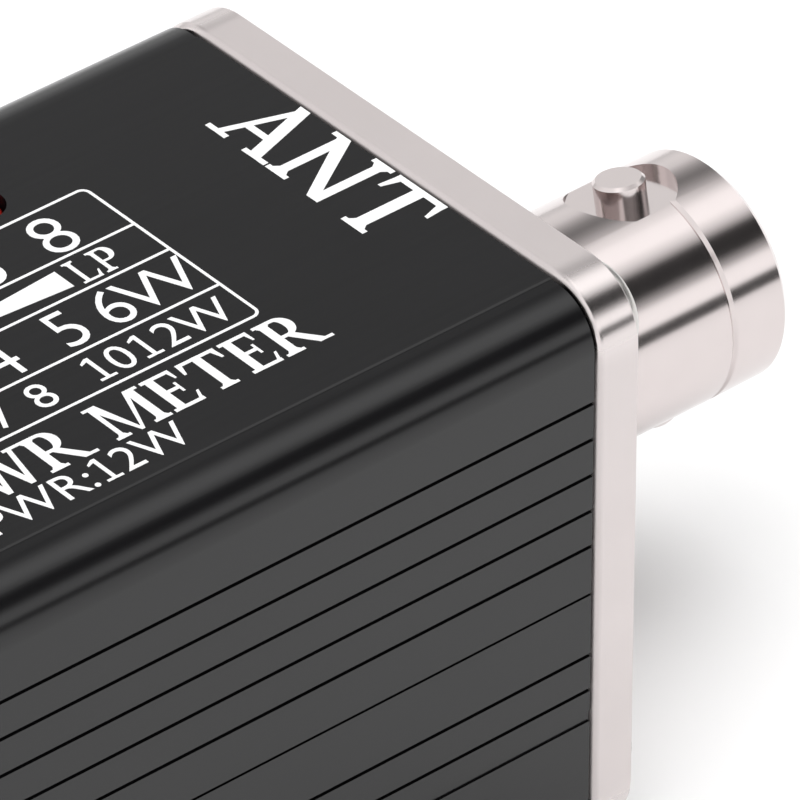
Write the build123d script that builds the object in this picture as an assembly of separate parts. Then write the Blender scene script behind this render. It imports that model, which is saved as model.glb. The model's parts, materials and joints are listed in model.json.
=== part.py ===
from build123d import *
import math
import os

# SWR power meter for HF radio: a split extruded box with a BNC jack on each end plate.
# Millimetres. X runs along the box, the antenna end is +X; Z is up, Z = 0 is the lowest face.
# Y = 0 is the middle of the box, and the operator faces the -Y side.

# ---- end plates and body ----
PLATE_WIDTH = 26.0
PLATE_HEIGHT = 26.0
PLATE_THICKNESS = 1.9
PLATE_CORNER_RADIUS = 2.7
PLATE_CHAMFER = 0.2
BODY_LENGTH = 50.0
BODY_INSET = 0.15          # how far the body sits inside the plate outline
WALL = 1.4
SHOULDER_RADIUS = 2.1      # rounded long edges of the body
TOP_LAND = 0.08            # raised flat between the two crease lines
LAND_SLOPE = 0.05          # how far the crease slopes outwards on its way down
LAND_MARGIN = 2.7          # crease line, from the plate's side
SEAM_SHIFT = 0.35          # outer seam, away from mid height
LAP_HEIGHT = 0.8           # inner lip of the half-lap joint
LAP_GAP = 0.05
SEAM_GAP = 0.12            # open line between the halves, on the outside
PLATE_GAP = 0.05           # shell end to plate

# ---- grooves along the sides ----
GROOVE_PITCH = 1.66
GROOVE_WIDTH = 0.17
GROOVE_DEPTH = 0.15
FRONT_FIRST_GROOVE = 2.2   # first groove of the outer-lap side, from the seam
BACK_FIRST_GROOVE = 2.95   # first groove of the inner-lap side, from the seam
FRONT_GROOVES = 5
BACK_GROOVES = 2
STEP_PAST_GROOVE = 1.28    # shallow step past the last inner-lap groove
STEP_WIDTH = 0.5
STEP_DEPTH = 0.08

# ---- plate screws ----
SCREW_INSET = 3.0          # screw axis, from the plate edges
SCREW_SHANK_RADIUS = 1.0
SCREW_HEAD_RADIUS = 2.0
SCREW_HEAD_HEIGHT = 1.2
SCREW_DEPTH = 6.0
SCREW_CLEARANCE = 0.05
BOSS_RADIUS = 1.9
RECESS_ARM = 1.7
RECESS_WIDTH = 0.45
RECESS_DEPTH = 0.7

# ---- BNC jacks ----
BARREL_RADIUS = 4.85
BARREL_BORE_RADIUS = 4.05
BARREL_BORE_DEPTH = 8.3
JACK_REACH = 15.15         # nose rim, from the plate's outer face
RING_FROM_RIM = 2.87
RING_WIDTH = 0.3
RING_DEPTH = 0.12
LUG_FROM_RIM = 3.85
LUG_RADIUS = 1.05
LUG_TIP_RADIUS = 5.3
LUG_TURN = 11.5            # degrees, lugs from upright towards the back
POCKET_RADIUS = 2.25
POCKET_FLOOR_RADIUS = 4.4
RIM_CHAMFER = 0.3
THREAD_RADIUS = 4.7
THREAD_PITCH = 0.79
THREAD_DEPTH = 0.3
THREAD_REACH = 5.2
FLANGE_RADIUS = 5.5
FLANGE_LENGTH = 1.6
REAR_REACH = 5.0           # rear of the jack body, from the plate's inner face
INSULATOR_RADIUS = 2.4
INSULATOR_FROM_RIM = 5.2
CONTACT_RADIUS = 1.05
CONTACT_FROM_RIM = 4.6
CONTACT_HOLE_RADIUS = 0.68
CONTACT_HOLE_DEPTH = 5.0
PIN_RADIUS = 0.7
PIN_REACH = 3.0            # solder end of the contact, past the insulator
JACK_CLEARANCE = 0.04
WASHER_RADIUS = 6.1
WASHER_THICKNESS = 0.6
NUT_ACROSS_FLATS = 12.0
NUT_THICKNESS = 2.4

# ---- circuit boards ----
BOARD_THICKNESS = 1.2
BOARD_GAP = 0.2            # board edge to shell wall and plates
BOARD_RAISE = 6.0          # underside of the main board, and top of the display board from above
RAIL_REACH = 1.2
RAIL_THICKNESS = 0.6
RAIL_CLEARANCE = 0.05

# ---- indicator lamps ----
LED_COUNT = 8
LED_PITCH = 3.25
LED_FROM_FACE = 15.35      # last lamp, from the outer face of the antenna end plate
LED_Y = 6.9
LED_RADIUS = 0.9
LED_HOLE_CLEARANCE = 0.1
LED_FLANGE_RADIUS = 1.1
LED_FLANGE_HEIGHT = 0.5
LED_HEIGHT = 3.4
LED_TIP_INSET = 0.02       # dome tip below the raised land
LED_LEAD_WIDTH = 0.4
LED_LEAD_SPREAD = 1.1
LED_COLOURS = {"green_leds": range(4, 8), "yellow_leds": range(2, 4), "red_leds": range(0, 2)}

# ---- switches ----
SWITCH_LENGTH = 8.6
SWITCH_HEIGHT = 3.5
SWITCH_DEPTH = 4.4
SWITCH_TRAVEL = 2.0
LEVER_WIDTH = 1.5
LEVER_HEIGHT = 1.4
LEVER_FOOT_LENGTH = 4.6
LEVER_FOOT_DEPTH = 1.0
LEVER_TIP_INSET = 0.1      # lever tip, inside the plate outline
LEVER_CLEARANCE = 0.08
SLOT_MARGIN = 0.35
SWITCH_PIN_PITCH = 2.5
SWITCH_PIN_SIZE = 0.5
POWER_LEVER_REACH = 1.6

# ---- power ----
BATTERY_LENGTH = 30.0
BATTERY_WIDTH = 13.0
BATTERY_THICKNESS = 3.4
PAD_THICKNESS = 0.5
SOCKET_WIDTH = 8.94
SOCKET_HEIGHT = 3.2
SOCKET_DEPTH = 7.3
SOCKET_WALL = 0.3
SOCKET_CLEARANCE = 0.1
TONGUE_WIDTH = 6.7
TONGUE_THICKNESS = 0.7
TONGUE_INSET = 0.9

# ---- coupler ----
CORE_OUTER_RADIUS = 4.75
CORE_INNER_RADIUS = 2.4
CORE_LENGTH = 3.2
CORE_X = 5.6
WINDING_TURNS = 10
WIRE_RADIUS = 0.2
WIRE_CLEARANCE = 0.05
LINE_RADIUS = 0.7
WINDING_SPREAD = 270        # degrees round the ring
SLEEVE_HALF_LENGTH = 9.0

# ---- trimmers ----
TRIMMER_SIZE = 3.8
TRIMMER_HEIGHT = 1.6
ROTOR_RADIUS = 1.3
ROTOR_HEIGHT = 0.9
ROTOR_SINK = 0.5
ROTOR_CLEARANCE = 0.05
TRIMMER_FROM_END = 12.3     # trimmer middle, from the board's end
TRIMMER_Y = -7.6

# ---- header between the boards ----
HEADER_COUNT = 6
HEADER_PITCH = 2.0
HEADER_Y = -8.6
HEADER_SIZE = 2.0

# ---- small components: length, width and height ----
DIODE_SIZE = (1.6, 0.8, 0.6)
DIODE_PLACES = [(1.6, -3.6), (-1.6, -3.6)]
RESISTOR_SIZE = (1.2, 2.0, 0.5)
RESISTOR_PLACES = [(x, y) for x in (-16.5, -14.5, 14.5, 16.5) for y in (1.8, 4.2)]
CAPACITOR_SIZE = (1.2, 2.0, 0.9)
CAPACITOR_PLACES = [(-9.0, 8.8), (-11.5, 8.8), (9.0, 8.8), (11.5, 8.8)]
CHARGER_SIZE = (4.9, 3.9, 1.5)
CHARGER_FROM_END = 6.3
CHARGER_Y = -6.0
DRIVER_SIZE = (8.6, 3.9, 1.4)
DRIVER_XS = (-7.0, 7.0)
DRIVER_Y = -3.0
LEG_SIZE = (0.4, 1.0, 0.2)
LEG_COUNT = 7
LEG_PITCH = 1.27

# ---- derived places ----
BODY_WIDTH = PLATE_WIDTH - 2 * BODY_INSET
BODY_HEIGHT = PLATE_HEIGHT - 2 * BODY_INSET - 2 * TOP_LAND
MID_Z = PLATE_HEIGHT / 2
TOP_Z = PLATE_HEIGHT - BODY_INSET
HALF_BODY = BODY_LENGTH / 2
PLATE_INNER_X = HALF_BODY + PLATE_GAP
PLATE_OUTER_X = PLATE_INNER_X + PLATE_THICKNESS
SIDE_INNER_Y = BODY_WIDTH / 2 - WALL
FLOOR_Z = PLATE_HEIGHT - TOP_Z + TOP_LAND + WALL
SCREW_Y = PLATE_WIDTH / 2 - SCREW_INSET
SCREW_Z = PLATE_HEIGHT / 2 - SCREW_INSET
MAIN_BOTTOM = BOARD_RAISE
MAIN_TOP = MAIN_BOTTOM + BOARD_THICKNESS
DISPLAY_TOP = PLATE_HEIGHT - BOARD_RAISE
DISPLAY_BOTTOM = DISPLAY_TOP - BOARD_THICKNESS
BOARD_HALF_LENGTH = HALF_BODY - BOARD_GAP
BOARD_HALF_WIDTH = SIDE_INNER_Y - BOARD_GAP
TRIMMER_X = BOARD_HALF_LENGTH - TRIMMER_FROM_END
SCREW_PLACES = [(sy * SCREW_Y, MID_Z + sz * SCREW_Z) for sy in (-1, 1) for sz in (-1, 1)]


def block(x, y, z):
    """A box from three (low, high) pairs."""
    spans = (x, y, z)
    middle = [(low + high) / 2 for low, high in spans]
    return Pos(*middle) * Box(*[high - low for low, high in spans])


def centred(x, y, z, length, width, height):
    """A box centred in X and Y, standing on z."""
    return Pos(x, y, z + height / 2) * Box(length, width, height)


def rod_x(radius, x, y=0.0, z=0.0):
    """A round bar along X over the (low, high) pair x."""
    return Pos(sum(x) / 2, y, z) * Rot(0, 90, 0) * Cylinder(radius, x[1] - x[0])


def rod_z(radius, x, y, z):
    """A round bar along Z over the (low, high) pair z."""
    return Pos(x, y, sum(z) / 2) * Cylinder(radius, z[1] - z[0])


def turned(points):
    """A solid turned about X from (x, radius) points."""
    return revolve(make_face(Polyline(*points, close=True)), Axis.X, 360)


def save(node, *shapes):
    """Write a node as its separate solids."""
    solids = [solid for shape in shapes for solid in shape.solids()]
    body = solids[0] if len(solids) == 1 else Compound(children=solids)
    export_step(body, f"parts/{node}.step")


# ---- shells ----
def region(y, z):
    """A flat rectangle in the section plane, whose first axis is Y and second is height above the middle."""
    return Pos(sum(y) / 2, sum(z) / 2) * Rectangle(y[1] - y[0], z[1] - z[0])


def section_outline():
    """The body's outer section: rounded corners, and a raised land between the creases."""
    half_land = PLATE_WIDTH / 2 - LAND_MARGIN
    half_height = BODY_HEIGHT / 2
    land = [(-half_land - LAND_SLOPE, half_height), (-half_land, half_height + TOP_LAND),
            (half_land, half_height + TOP_LAND), (half_land + LAND_SLOPE, half_height)]
    land += [(-y, -z) for y, z in land]
    outline = RectangleRounded(BODY_WIDTH, BODY_HEIGHT, SHOULDER_RADIUS)
    return outline + make_face(Polyline(*land, close=True))


def upper_section():
    """The section of the upper half, with the outer lap on -Y and the inner lap on +Y."""
    cavity = Rectangle(2 * SIDE_INNER_Y, PLATE_HEIGHT - 2 * FLOOR_Z)
    wall = section_outline() - cavity
    reach = PLATE_WIDTH
    skin = BODY_WIDTH / 2 - WALL / 2
    front_full = region((-reach, 0), (LAP_HEIGHT, reach))
    front_lap = region((-reach, -skin), (-SEAM_SHIFT, LAP_HEIGHT))
    back_full = region((0, reach), (SEAM_SHIFT + SEAM_GAP, reach))
    back_lap = region((0, skin - LAP_GAP), (LAP_GAP - LAP_HEIGHT, SEAM_SHIFT + SEAM_GAP))
    half = wall & (front_full + front_lap + back_full + back_lap)
    for side in (-1, 1):
        half += Pos(side * SCREW_Y, SCREW_Z) * Circle(BOSS_RADIUS) & section_outline()
        half -= Pos(side * SCREW_Y, SCREW_Z) * Circle(SCREW_SHANK_RADIUS + SCREW_CLEARANCE)
        board = PLATE_HEIGHT / 2 - BOARD_RAISE
        for low in (board + RAIL_CLEARANCE, board - BOARD_THICKNESS - RAIL_CLEARANCE - RAIL_THICKNESS):
            rail = sorted((side * (SIDE_INNER_Y + RAIL_CLEARANCE), side * (SIDE_INNER_Y - RAIL_REACH)))
            half += region(rail, (low, low + RAIL_THICKNESS))
    for side, first, count in ((-1, -SEAM_SHIFT + FRONT_FIRST_GROOVE, FRONT_GROOVES),
                               (1, SEAM_SHIFT + BACK_FIRST_GROOVE, BACK_GROOVES)):
        for index in range(count):
            place = (side * BODY_WIDTH / 2, first + index * GROOVE_PITCH)
            half -= Pos(*place) * Rectangle(2 * GROOVE_DEPTH, GROOVE_WIDTH)
    step = SEAM_SHIFT + BACK_FIRST_GROOVE + (BACK_GROOVES - 1) * GROOVE_PITCH + STEP_PAST_GROOVE
    return half - Pos(BODY_WIDTH / 2, step) * Rectangle(2 * STEP_DEPTH, STEP_WIDTH)


def half_shell():
    """One half of the extrusion, lying along X about the middle of the box."""
    section = Plane.YZ * upper_section()
    return Pos(0, 0, MID_Z) * (Pos(-HALF_BODY, 0, 0) * extrude(section, BODY_LENGTH, dir=(1, 0, 0)))


def flipped(shape):
    """The shape turned half a turn about the long middle axis of the box."""
    return Pos(0, 0, MID_Z) * Rot(180, 0, 0) * Pos(0, 0, -MID_Z) * shape


def led_x(index):
    return PLATE_OUTER_X - LED_FROM_FACE - index * LED_PITCH


def upper_shell():
    shell = half_shell()
    for index in range(LED_COUNT):
        hole = rod_z(LED_RADIUS + LED_HOLE_CLEARANCE, led_x(index), LED_Y, (MID_Z, PLATE_HEIGHT + 1))
        shell -= hole
    return shell


RANGE_LEVER_Z = MAIN_TOP + SWITCH_HEIGHT / 2
POWER_LEVER_Z = DISPLAY_TOP + SWITCH_HEIGHT / 2


def lower_shell():
    half_slot = (SWITCH_TRAVEL + LEVER_WIDTH) / 2 + SLOT_MARGIN
    half_height = LEVER_HEIGHT / 2 + SLOT_MARGIN
    slot = block((-half_slot, half_slot), (SIDE_INNER_Y - 1, PLATE_WIDTH),
                 (RANGE_LEVER_Z - half_height, RANGE_LEVER_Z + half_height))
    return flipped(half_shell()) - slot


# ---- end plates and their screws ----
def end_plate():
    """The antenna end plate, at +X."""
    blank = extrude(RectangleRounded(PLATE_WIDTH, PLATE_HEIGHT, PLATE_CORNER_RADIUS), PLATE_THICKNESS)
    blank = chamfer(blank.faces().sort_by(Axis.Z)[0].edges(), PLATE_CHAMFER)
    plate = Pos(PLATE_INNER_X, 0, MID_Z) * Rot(0, 90, 0) * Rot(0, 0, 90) * blank
    span = (PLATE_INNER_X - 1, PLATE_OUTER_X + 1)
    plate -= rod_x(THREAD_RADIUS + JACK_CLEARANCE, span, 0, MID_Z)
    for y, z in SCREW_PLACES:
        plate -= rod_x(SCREW_SHANK_RADIUS + 4 * SCREW_CLEARANCE, span, y, z)
    return plate


def plate_screws():
    """Four cross-recess screws of the antenna end plate."""
    screws = []
    for y, z in SCREW_PLACES:
        head_top = PLATE_OUTER_X + SCREW_HEAD_HEIGHT
        head = rod_x(SCREW_HEAD_RADIUS, (PLATE_OUTER_X, head_top), y, z)
        head = fillet(head.edges().group_by(Axis.X)[-1], SCREW_HEAD_HEIGHT / 2)
        screw = head + rod_x(SCREW_SHANK_RADIUS, (PLATE_OUTER_X - SCREW_DEPTH, PLATE_OUTER_X), y, z)
        for arm in ((RECESS_ARM, RECESS_WIDTH), (RECESS_WIDTH, RECESS_ARM)):
            screw -= Pos(head_top, y, z) * Box(2 * RECESS_DEPTH, *arm)
        screws.append(screw)
    return screws


def other_end(shape):
    """The same piece at the transmitter end."""
    return Rot(0, 0, 180) * shape


def tx_plate():
    """The transmitter end plate, with a slot for the power lever and a mouth for the socket."""
    plate = other_end(end_plate())
    span = (-PLATE_OUTER_X - 1, -PLATE_INNER_X + 1)
    half_slot = (SWITCH_TRAVEL + LEVER_WIDTH) / 2 + SLOT_MARGIN
    half_height = LEVER_HEIGHT / 2 + SLOT_MARGIN
    plate -= block(span, (-half_slot, half_slot), (POWER_LEVER_Z - half_height, POWER_LEVER_Z + half_height))
    return plate - socket_blank(span, SOCKET_CLEARANCE)


# ---- BNC jack, along +X from the antenna end plate ----
RIM_X = PLATE_OUTER_X + JACK_REACH
REAR_X = PLATE_INNER_X - REAR_REACH
LUG_X = RIM_X - LUG_FROM_RIM
RING_X = RIM_X - RING_FROM_RIM
THREAD_END_X = PLATE_OUTER_X + THREAD_REACH


def thread_points():
    """A ridged line along the thread, from the flange to the barrel."""
    start = PLATE_OUTER_X + THREAD_DEPTH
    count = int((THREAD_END_X - start) / THREAD_PITCH)
    points = [(PLATE_INNER_X, THREAD_RADIUS), (start, THREAD_RADIUS)]
    for index in range(count):
        x = start + index * THREAD_PITCH
        points += [(x + THREAD_PITCH / 2, THREAD_RADIUS - THREAD_DEPTH), (x + THREAD_PITCH, THREAD_RADIUS)]
    return points + [(THREAD_END_X, THREAD_RADIUS)]


def jack_body():
    bore_end = RIM_X - BARREL_BORE_DEPTH
    rear_bore = INSULATOR_RADIUS + JACK_CLEARANCE
    outline = [(REAR_X, rear_bore), (REAR_X, THREAD_RADIUS)]
    outline += [(PLATE_INNER_X - FLANGE_LENGTH, THREAD_RADIUS), (PLATE_INNER_X - FLANGE_LENGTH, FLANGE_RADIUS)]
    outline += [(PLATE_INNER_X, FLANGE_RADIUS)] + thread_points()
    outline += [(THREAD_END_X, BARREL_RADIUS)]
    outline += [(RING_X - RING_WIDTH / 2, BARREL_RADIUS), (RING_X, BARREL_RADIUS - RING_DEPTH)]
    outline += [(RING_X + RING_WIDTH / 2, BARREL_RADIUS), (RIM_X - RIM_CHAMFER, BARREL_RADIUS)]
    outline += [(RIM_X, BARREL_RADIUS - RIM_CHAMFER), (RIM_X, BARREL_BORE_RADIUS + RIM_CHAMFER / 2)]
    outline += [(RIM_X - RIM_CHAMFER / 2, BARREL_BORE_RADIUS), (bore_end, BARREL_BORE_RADIUS), (bore_end, rear_bore)]
    body = turned(outline)
    for side in (-1, 1):
        pocket = rod_z(POCKET_RADIUS, LUG_X, 0, (POCKET_FLOOR_RADIUS, 2 * BARREL_RADIUS))
        lug = rod_z(LUG_RADIUS, LUG_X, 0, ((BARREL_BORE_RADIUS + POCKET_FLOOR_RADIUS) / 2, LUG_TIP_RADIUS))
        lug = chamfer(lug.edges().group_by(Axis.Z)[-1], LUG_RADIUS / 8)
        turn = Rot(-LUG_TURN if side > 0 else 180 - LUG_TURN, 0, 0)
        body = body - turn * pocket + turn * lug
    return Pos(0, 0, MID_Z) * body


def jack_insulator():
    radius = CONTACT_RADIUS + JACK_CLEARANCE
    span = (REAR_X, RIM_X - INSULATOR_FROM_RIM)
    return rod_x(INSULATOR_RADIUS, span, 0, MID_Z) - rod_x(radius, span, 0, MID_Z)


def jack_contact():
    """The centre contact: a slotted socket in front and a solder pin behind."""
    tip = RIM_X - CONTACT_FROM_RIM
    contact = rod_x(CONTACT_RADIUS, (REAR_X, tip), 0, MID_Z)
    contact -= rod_x(CONTACT_HOLE_RADIUS, (tip - CONTACT_HOLE_DEPTH, tip + 1), 0, MID_Z)
    slot = centred(tip, 0, 0, 2 * CONTACT_HOLE_DEPTH - 2, RING_WIDTH, 4 * CONTACT_RADIUS)
    contact -= Pos(0, 0, MID_Z - 2 * CONTACT_RADIUS) * slot
    return contact + rod_x(PIN_RADIUS, (REAR_X - PIN_REACH, REAR_X), 0, MID_Z)


def jack_washer():
    span = (PLATE_OUTER_X, PLATE_OUTER_X + WASHER_THICKNESS)
    hole = rod_x(THREAD_RADIUS + JACK_CLEARANCE, span, 0, MID_Z)
    return rod_x(WASHER_RADIUS, span, 0, MID_Z) - hole


def jack_nut():
    """A hexagonal nut with two flats level, so that its corners point sideways."""
    start = PLATE_OUTER_X + WASHER_THICKNESS
    hexagon = RegularPolygon(NUT_ACROSS_FLATS / 2, 6, major_radius=False, rotation=30)
    nut = Pos(start, 0, MID_Z) * Rot(0, 90, 0) * extrude(hexagon, NUT_THICKNESS)
    span = (start, start + NUT_THICKNESS)
    rounder = turned([(span[0] - 1, 0), (span[0] - 1, NUT_ACROSS_FLATS), (span[1], NUT_ACROSS_FLATS / 2),
                      (span[1], 0)])
    return (nut & Pos(0, 0, MID_Z) * rounder) - rod_x(THREAD_RADIUS + JACK_CLEARANCE, span, 0, MID_Z)


# ---- boards ----
def board(bottom):
    half = (BOARD_HALF_LENGTH, BOARD_HALF_WIDTH)
    return block((-half[0], half[0]), (-half[1], half[1]), (bottom, bottom + BOARD_THICKNESS))


def header_pins():
    """Six square pins that join the two boards, in a row along X."""
    places = [(index - (HEADER_COUNT - 1) / 2) * HEADER_PITCH for index in range(HEADER_COUNT)]
    height = DISPLAY_BOTTOM - MAIN_TOP
    return [centred(x, HEADER_Y, MAIN_TOP, SWITCH_PIN_SIZE, SWITCH_PIN_SIZE, height) for x in places]


def header_strip():
    strip = centred(0, HEADER_Y, MAIN_TOP, HEADER_COUNT * HEADER_PITCH, HEADER_SIZE, HEADER_SIZE)
    for pin in header_pins():
        strip -= pin
    return strip


# ---- indicator lamps ----
def led(index):
    """A round lamp with a flange, its dome just under the raised land of the top."""
    x = led_x(index)
    tip = TOP_Z - LED_TIP_INSET
    base = tip - LED_HEIGHT
    lens = rod_z(LED_RADIUS, x, LED_Y, (base, tip))
    lens = fillet(lens.edges().group_by(Axis.Z)[-1], LED_RADIUS * 0.8)
    return lens + rod_z(LED_FLANGE_RADIUS, x, LED_Y, (base, base + LED_FLANGE_HEIGHT))


def led_leads():
    base = TOP_Z - LED_TIP_INSET - LED_HEIGHT
    height = base - DISPLAY_TOP
    spots = [led_x(index) + side * LED_LEAD_SPREAD / 2 for index in range(LED_COUNT) for side in (-1, 1)]
    return [centred(x, LED_Y, DISPLAY_TOP, LED_LEAD_WIDTH, LED_LEAD_WIDTH, height) for x in spots]


# ---- switches: built along +Y with the lever at the front, then placed ----
def switch_housing():
    """A housing whose mouth is on +Y, standing on Z = 0 with its front face at Y = 0."""
    housing = centred(0, -SWITCH_DEPTH / 2, 0, SWITCH_LENGTH, SWITCH_DEPTH, SWITCH_HEIGHT)
    half_mouth = (SWITCH_TRAVEL + LEVER_WIDTH) / 2 + LEVER_CLEARANCE
    half_height = LEVER_HEIGHT / 2 + LEVER_CLEARANCE
    middle = SWITCH_HEIGHT / 2
    housing -= block((-half_mouth, half_mouth), (-SWITCH_DEPTH / 2, 1), (middle - half_height, middle + half_height))
    half_track = (SWITCH_TRAVEL + LEVER_FOOT_LENGTH) / 2 + LEVER_CLEARANCE
    foot = (-SWITCH_DEPTH / 2 - LEVER_CLEARANCE, -SWITCH_DEPTH / 2 + LEVER_FOOT_DEPTH + LEVER_CLEARANCE)
    return housing - block((-half_track, half_track), foot, (middle - half_height, middle + half_height))


def switch_lever(reach):
    """The lever at one end of its travel, reaching out to Y = reach."""
    middle = SWITCH_HEIGHT / 2
    height = (middle - LEVER_HEIGHT / 2, middle + LEVER_HEIGHT / 2)
    back = -SWITCH_DEPTH / 2
    foot = block((-LEVER_FOOT_LENGTH / 2, LEVER_FOOT_LENGTH / 2), (back, back + LEVER_FOOT_DEPTH), height)
    lever = foot + block((-LEVER_WIDTH / 2, LEVER_WIDTH / 2), (back, reach), height)
    return Pos(SWITCH_TRAVEL / 2, 0, 0) * lever


def switch_pins():
    """Three pins against the back of a housing, cut off at the board's face."""
    y = -SWITCH_DEPTH - SWITCH_PIN_SIZE / 2
    size = (SWITCH_PIN_SIZE, SWITCH_PIN_SIZE, SWITCH_HEIGHT / 2)
    return [centred(index * SWITCH_PIN_PITCH, y, 0, *size) for index in (-1, 0, 1)]


RANGE_FRONT_Y = SIDE_INNER_Y - RAIL_REACH - LEVER_CLEARANCE
POWER_FRONT_X = -HALF_BODY + BOARD_GAP


def at_range(shape):
    return Pos(0, RANGE_FRONT_Y, MAIN_TOP) * shape


def at_power(shape):
    return Pos(POWER_FRONT_X, 0, DISPLAY_TOP) * Rot(0, 0, 90) * shape


def switch_terminals():
    """Three pins behind each housing, down to its board."""
    pins = [at_range(pin) for pin in switch_pins()]
    return pins + [at_power(pin) for pin in switch_pins()]


# ---- charging socket and battery ----
SOCKET_TOP = MAIN_BOTTOM
SOCKET_MID_Z = SOCKET_TOP - SOCKET_HEIGHT / 2
SOCKET_MOUTH_X = -PLATE_OUTER_X
SOCKET_REAR_X = SOCKET_MOUTH_X + SOCKET_DEPTH


def socket_blank(x, grow):
    """A bar with the socket's rounded outline, grown all round."""
    size = (SOCKET_WIDTH + 2 * grow, SOCKET_HEIGHT + 2 * grow)
    outline = RectangleRounded(*size, size[1] / 2 * 0.8)
    bar = extrude(outline, x[1] - x[0])
    return Pos(x[0], 0, SOCKET_MID_Z) * Rot(0, 90, 0) * Rot(0, 0, 90) * bar


def socket_shell():
    shell = socket_blank((SOCKET_MOUTH_X, SOCKET_REAR_X), 0)
    return shell - socket_blank((SOCKET_MOUTH_X - 1, SOCKET_REAR_X - 1), -SOCKET_WALL)


def socket_tongue():
    span = (SOCKET_MOUTH_X + TONGUE_INSET, SOCKET_REAR_X - 1)
    half = TONGUE_THICKNESS / 2
    return block(span, (-TONGUE_WIDTH / 2, TONGUE_WIDTH / 2), (SOCKET_MID_Z - half, SOCKET_MID_Z + half))


BATTERY_START_X = SOCKET_REAR_X + 2.0
BATTERY_X = BATTERY_START_X + BATTERY_LENGTH / 2


def foam_pad():
    return centred(BATTERY_X, 0, FLOOR_Z, BATTERY_LENGTH, BATTERY_WIDTH, PAD_THICKNESS)


def battery_cell():
    cell = centred(BATTERY_X, 0, FLOOR_Z + PAD_THICKNESS, BATTERY_LENGTH, BATTERY_WIDTH, BATTERY_THICKNESS)
    return fillet(cell.edges().filter_by(Axis.X), BATTERY_THICKNESS / 4)


def battery_leads():
    """Two short wires from the cell's end up to the underside of the main board."""
    wires = []
    end = BATTERY_X + BATTERY_LENGTH / 2
    level = FLOOR_Z + PAD_THICKNESS + BATTERY_THICKNESS / 2
    run = 2.0
    for y in (-2.0, 2.0):
        path = FilletPolyline((end, y, level), (end + run, y, level), (end + run, y, MAIN_BOTTOM), radius=1.0)
        section = Plane(origin=(end, y, level), z_dir=(1, 0, 0)) * Circle(0.45)
        wires.append(sweep(section, path))
    return wires


# ---- coupler on the line between the two contacts ----
LINE_END_X = REAR_X - PIN_REACH


def coupler_core(x):
    span = (x - CORE_LENGTH / 2, x + CORE_LENGTH / 2)
    core = rod_x(CORE_OUTER_RADIUS, span) - rod_x(CORE_INNER_RADIUS, span)
    return Pos(0, 0, MID_Z) * fillet(core.edges(), 0.3)


def coupler_winding(x):
    """Separate turns of wire round the ring, spread over three quarters of it."""
    inner = CORE_INNER_RADIUS - WIRE_RADIUS - WIRE_CLEARANCE
    outer = CORE_OUTER_RADIUS + WIRE_RADIUS + WIRE_CLEARANCE
    half = CORE_LENGTH / 2 + WIRE_RADIUS + WIRE_CLEARANCE
    width = outer - inner
    loop = Rectangle(2 * half + 2 * WIRE_RADIUS, width + 2 * WIRE_RADIUS)
    loop -= Rectangle(2 * half - 2 * WIRE_RADIUS, width - 2 * WIRE_RADIUS)
    turn = Plane.XZ * Pos(0, (inner + outer) / 2) * loop
    turn = Pos(0, WIRE_RADIUS, 0) * extrude(turn, 2 * WIRE_RADIUS)
    place = Pos(x, 0, MID_Z)
    return [place * Rot(winding_angle(index), 0, 0) * turn for index in range(WINDING_TURNS)]


def winding_angle(index):
    """Where a turn stands round the ring, from the top."""
    return (index + 0.5) * WINDING_SPREAD / WINDING_TURNS - WINDING_SPREAD / 2


def coupler_leads():
    """The two ends of each winding, straight down to the main board."""
    radius = CORE_OUTER_RADIUS + WIRE_RADIUS + WIRE_CLEARANCE
    angle = math.radians(winding_angle(0))
    top = MID_Z + radius * math.cos(angle) - 1.5 * WIRE_RADIUS
    y = radius * math.sin(angle)
    return [rod_z(WIRE_RADIUS, sx * CORE_X, sy * y, (MAIN_TOP, top)) for sx in (-1, 1) for sy in (-1, 1)]


def through_line():
    return rod_x(LINE_RADIUS, (-LINE_END_X, LINE_END_X), 0, MID_Z)


def line_sleeve():
    """The insulating sleeve that carries both rings on the line."""
    span = (-SLEEVE_HALF_LENGTH, SLEEVE_HALF_LENGTH)
    outer = CORE_INNER_RADIUS - 2 * WIRE_RADIUS - 2 * WIRE_CLEARANCE
    return rod_x(outer, span, 0, MID_Z) - rod_x(LINE_RADIUS + JACK_CLEARANCE, span, 0, MID_Z)


# ---- small components on the boards ----
def chip_group(places, size):
    return [centred(x, y, MAIN_TOP, *size) for x, y in places]


def driver_chips():
    return [centred(x, DRIVER_Y, DISPLAY_TOP, *DRIVER_SIZE) for x in DRIVER_XS]


def driver_legs():
    """Flat feet along both long sides of each driver chip."""
    legs = []
    for x in DRIVER_XS:
        for index in range(LEG_COUNT):
            place = x + (index - (LEG_COUNT - 1) / 2) * LEG_PITCH
            for side in (-1, 1):
                y = DRIVER_Y + side * (DRIVER_SIZE[1] + LEG_SIZE[1]) / 2
                legs.append(centred(place, y, DISPLAY_TOP, *LEG_SIZE))
    return legs


def trimmer_body(x):
    body = centred(x, TRIMMER_Y, MAIN_TOP, TRIMMER_SIZE, TRIMMER_SIZE, TRIMMER_HEIGHT)
    floor = MAIN_TOP + TRIMMER_HEIGHT - ROTOR_SINK - ROTOR_CLEARANCE
    return body - rod_z(ROTOR_RADIUS + ROTOR_CLEARANCE, x, TRIMMER_Y, (floor, floor + TRIMMER_HEIGHT))


def trimmer_rotor(x):
    base = MAIN_TOP + TRIMMER_HEIGHT - ROTOR_SINK
    rotor = rod_z(ROTOR_RADIUS, x, TRIMMER_Y, (base, base + ROTOR_HEIGHT))
    return rotor - centred(x, TRIMMER_Y, base + ROTOR_HEIGHT / 2, 2 * ROTOR_RADIUS - 0.5, 0.5, ROTOR_HEIGHT)


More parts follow.
